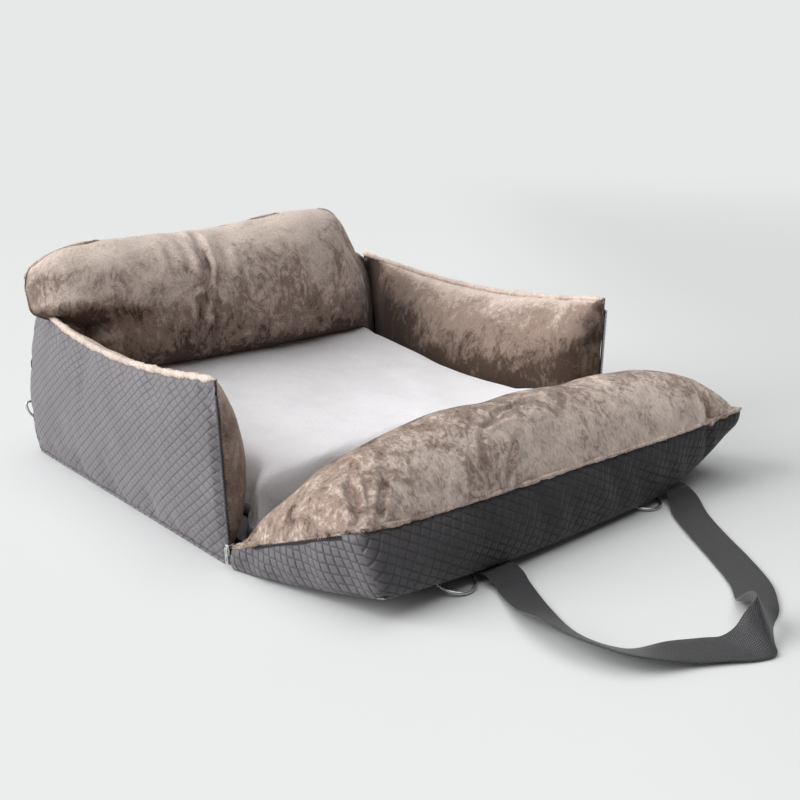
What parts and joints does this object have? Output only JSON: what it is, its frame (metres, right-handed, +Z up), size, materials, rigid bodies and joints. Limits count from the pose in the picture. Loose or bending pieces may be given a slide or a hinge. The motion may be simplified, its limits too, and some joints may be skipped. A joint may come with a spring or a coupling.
{
  "type": "dog car seat",
  "caption": "Padded four-sided dog car seat with a loose seat mat, a tall loose back cushion, a front side that folds down, webbing handles and D-rings.",
  "frame": {"origin": "centre of the base's underside, with the folded-down front panel and its handle left out", "axes": "+Z up, -Y towards the folded-down front panel, +X to the right of someone who looks in over the front"},
  "size_m": [0.7055, 1.08, 0.3254],
  "materials": {
    "quilted_grey": "soft quilted cloth with a slight sheen",
    "taupe_plush": "short plush",
    "white_plush": "short plush",
    "lining_cloth": "plain woven cloth",
    "filling": "loose fibre",
    "stiff_board": "matt",
    "dark_webbing": "woven webbing with a slight sheen",
    "zip_coil": "satin",
    "nickel_steel": "polished nickel"
  },
  "bodies": {
    "bed": {"base_cover": "quilted_grey", "base_board": "stiff_board", "base_lining": "lining_cloth", "left_wall_outer": "quilted_grey", "left_wall_filling": "filling", "left_wall_lining": "taupe_plush", "right_wall_outer": "quilted_grey", "right_wall_filling": "filling", "right_wall_lining": "taupe_plush", "back_wall_outer": "quilted_grey", "back_wall_filling": "filling", "back_wall_lining": "taupe_plush", "fold_strip": "quilted_grey", "left_wall_zip_tape": "dark_webbing", "left_wall_zip_chain": "zip_coil", "right_wall_zip_tape": "dark_webbing", "right_wall_zip_chain": "zip_coil", "rear_left_ring_tab": "dark_webbing", "rear_right_ring_tab": "dark_webbing", "rear_handle_patch_left": "dark_webbing", "rear_handle_patch_right": "dark_webbing"},
    "mat": {"mat_underside": "lining_cloth", "mat_filling": "filling", "mat_cover": "white_plush"},
    "cushion": {"back_cushion_front": "taupe_plush", "back_cushion_rear": "taupe_plush", "back_cushion_filling": "filling"},
    "front_panel": {"front_panel_outer": "quilted_grey", "front_panel_gusset_left": "quilted_grey", "front_panel_gusset_right": "quilted_grey", "front_panel_lining": "taupe_plush", "front_panel_filling": "filling", "left_panel_zip_tape": "dark_webbing", "left_panel_zip_chain": "zip_coil", "right_panel_zip_tape": "dark_webbing", "right_panel_zip_chain": "zip_coil", "front_left_ring_tab": "dark_webbing", "front_right_ring_tab": "dark_webbing", "front_handle_patch_left": "dark_webbing", "front_handle_patch_right": "dark_webbing"},
    "left_slider": {"left_zip_slider": "nickel_steel"},
    "left_pull": {"left_zip_pull": "nickel_steel"},
    "right_slider": {"right_zip_slider": "nickel_steel"},
    "right_pull": {"right_zip_pull": "nickel_steel"},
    "front_left_ring_body": {"front_left_ring": "nickel_steel"},
    "front_right_ring_body": {"front_right_ring": "nickel_steel"},
    "rear_left_ring_body": {"rear_left_ring": "nickel_steel"},
    "rear_right_ring_body": {"rear_right_ring": "nickel_steel"},
    "front_handle_body": {"front_handle": "dark_webbing"},
    "rear_handle_body": {"rear_handle": "dark_webbing"}
  },
  "joints": [
    {"name": "front_panel_fold", "type": "hinge", "parent": "bed", "child": "front_panel", "pos_m": [0, -0.2705, 0.027], "axis": [-1, 0, 0], "range_deg": [0, 70], "deforming": ["front_panel_lining", "front_panel_filling"]},
    {"name": "mat_lift", "type": "slide", "parent": "bed", "child": "mat", "axis": [0, 0, 1], "range_m": [0, 0.2]},
    {"name": "cushion_lift", "type": "slide", "parent": "mat", "child": "cushion", "axis": [0, 0, 1], "range_m": [0, 0.2]},
    {"name": "left_slider_run", "type": "slide", "parent": "bed", "child": "left_slider", "axis": [-0.0327, 0, 0.9995], "range_m": [0, 0.165]},
    {"name": "left_pull_swing", "type": "hinge", "parent": "left_slider", "child": "left_pull", "pos_m": [-0.33451, -0.2647, 0.02584], "axis": [0, 1, 0], "range_deg": [0, 110]},
    {"name": "right_slider_run", "type": "slide", "parent": "bed", "child": "right_slider", "axis": [0.0327, 0, 0.9995], "range_m": [0, 0.165]},
    {"name": "right_pull_swing", "type": "hinge", "parent": "right_slider", "child": "right_pull", "pos_m": [0.33451, -0.2647, 0.02584], "axis": [0, -1, 0], "range_deg": [0, 110]},
    {"name": "front_left_ring_swing", "type": "hinge", "parent": "front_panel", "child": "front_left_ring_body", "pos_m": [-0.1748, -0.4575, 0.01124], "axis": [-1, 0, 0], "range_deg": [-145, 5]},
    {"name": "front_right_ring_swing", "type": "hinge", "parent": "front_panel", "child": "front_right_ring_body", "pos_m": [0.1662, -0.4575, 0.00605], "axis": [-1, 0, 0], "range_deg": [-145, 5]},
    {"name": "rear_left_ring_swing", "type": "hinge", "parent": "bed", "child": "rear_left_ring_body", "pos_m": [-0.315, 0.2638, 0.076], "axis": [1, 0, 0], "range_deg": [0, 150]},
    {"name": "rear_right_ring_swing", "type": "hinge", "parent": "bed", "child": "rear_right_ring_body", "pos_m": [0.315, 0.2638, 0.076], "axis": [1, 0, 0], "range_deg": [0, 150]},
    {"name": "front_handle_swing", "type": "hinge", "parent": "front_panel", "child": "front_handle_body", "pos_m": [0.0455, -0.482, 0.01277], "axis": [-1, 0, 0], "range_deg": [-60, 45]},
    {"name": "rear_handle_swing", "type": "hinge", "parent": "bed", "child": "rear_handle_body", "pos_m": [0, 0.2613, 0.185], "axis": [1, 0, 0], "range_deg": [0, 95]}
  ]
}
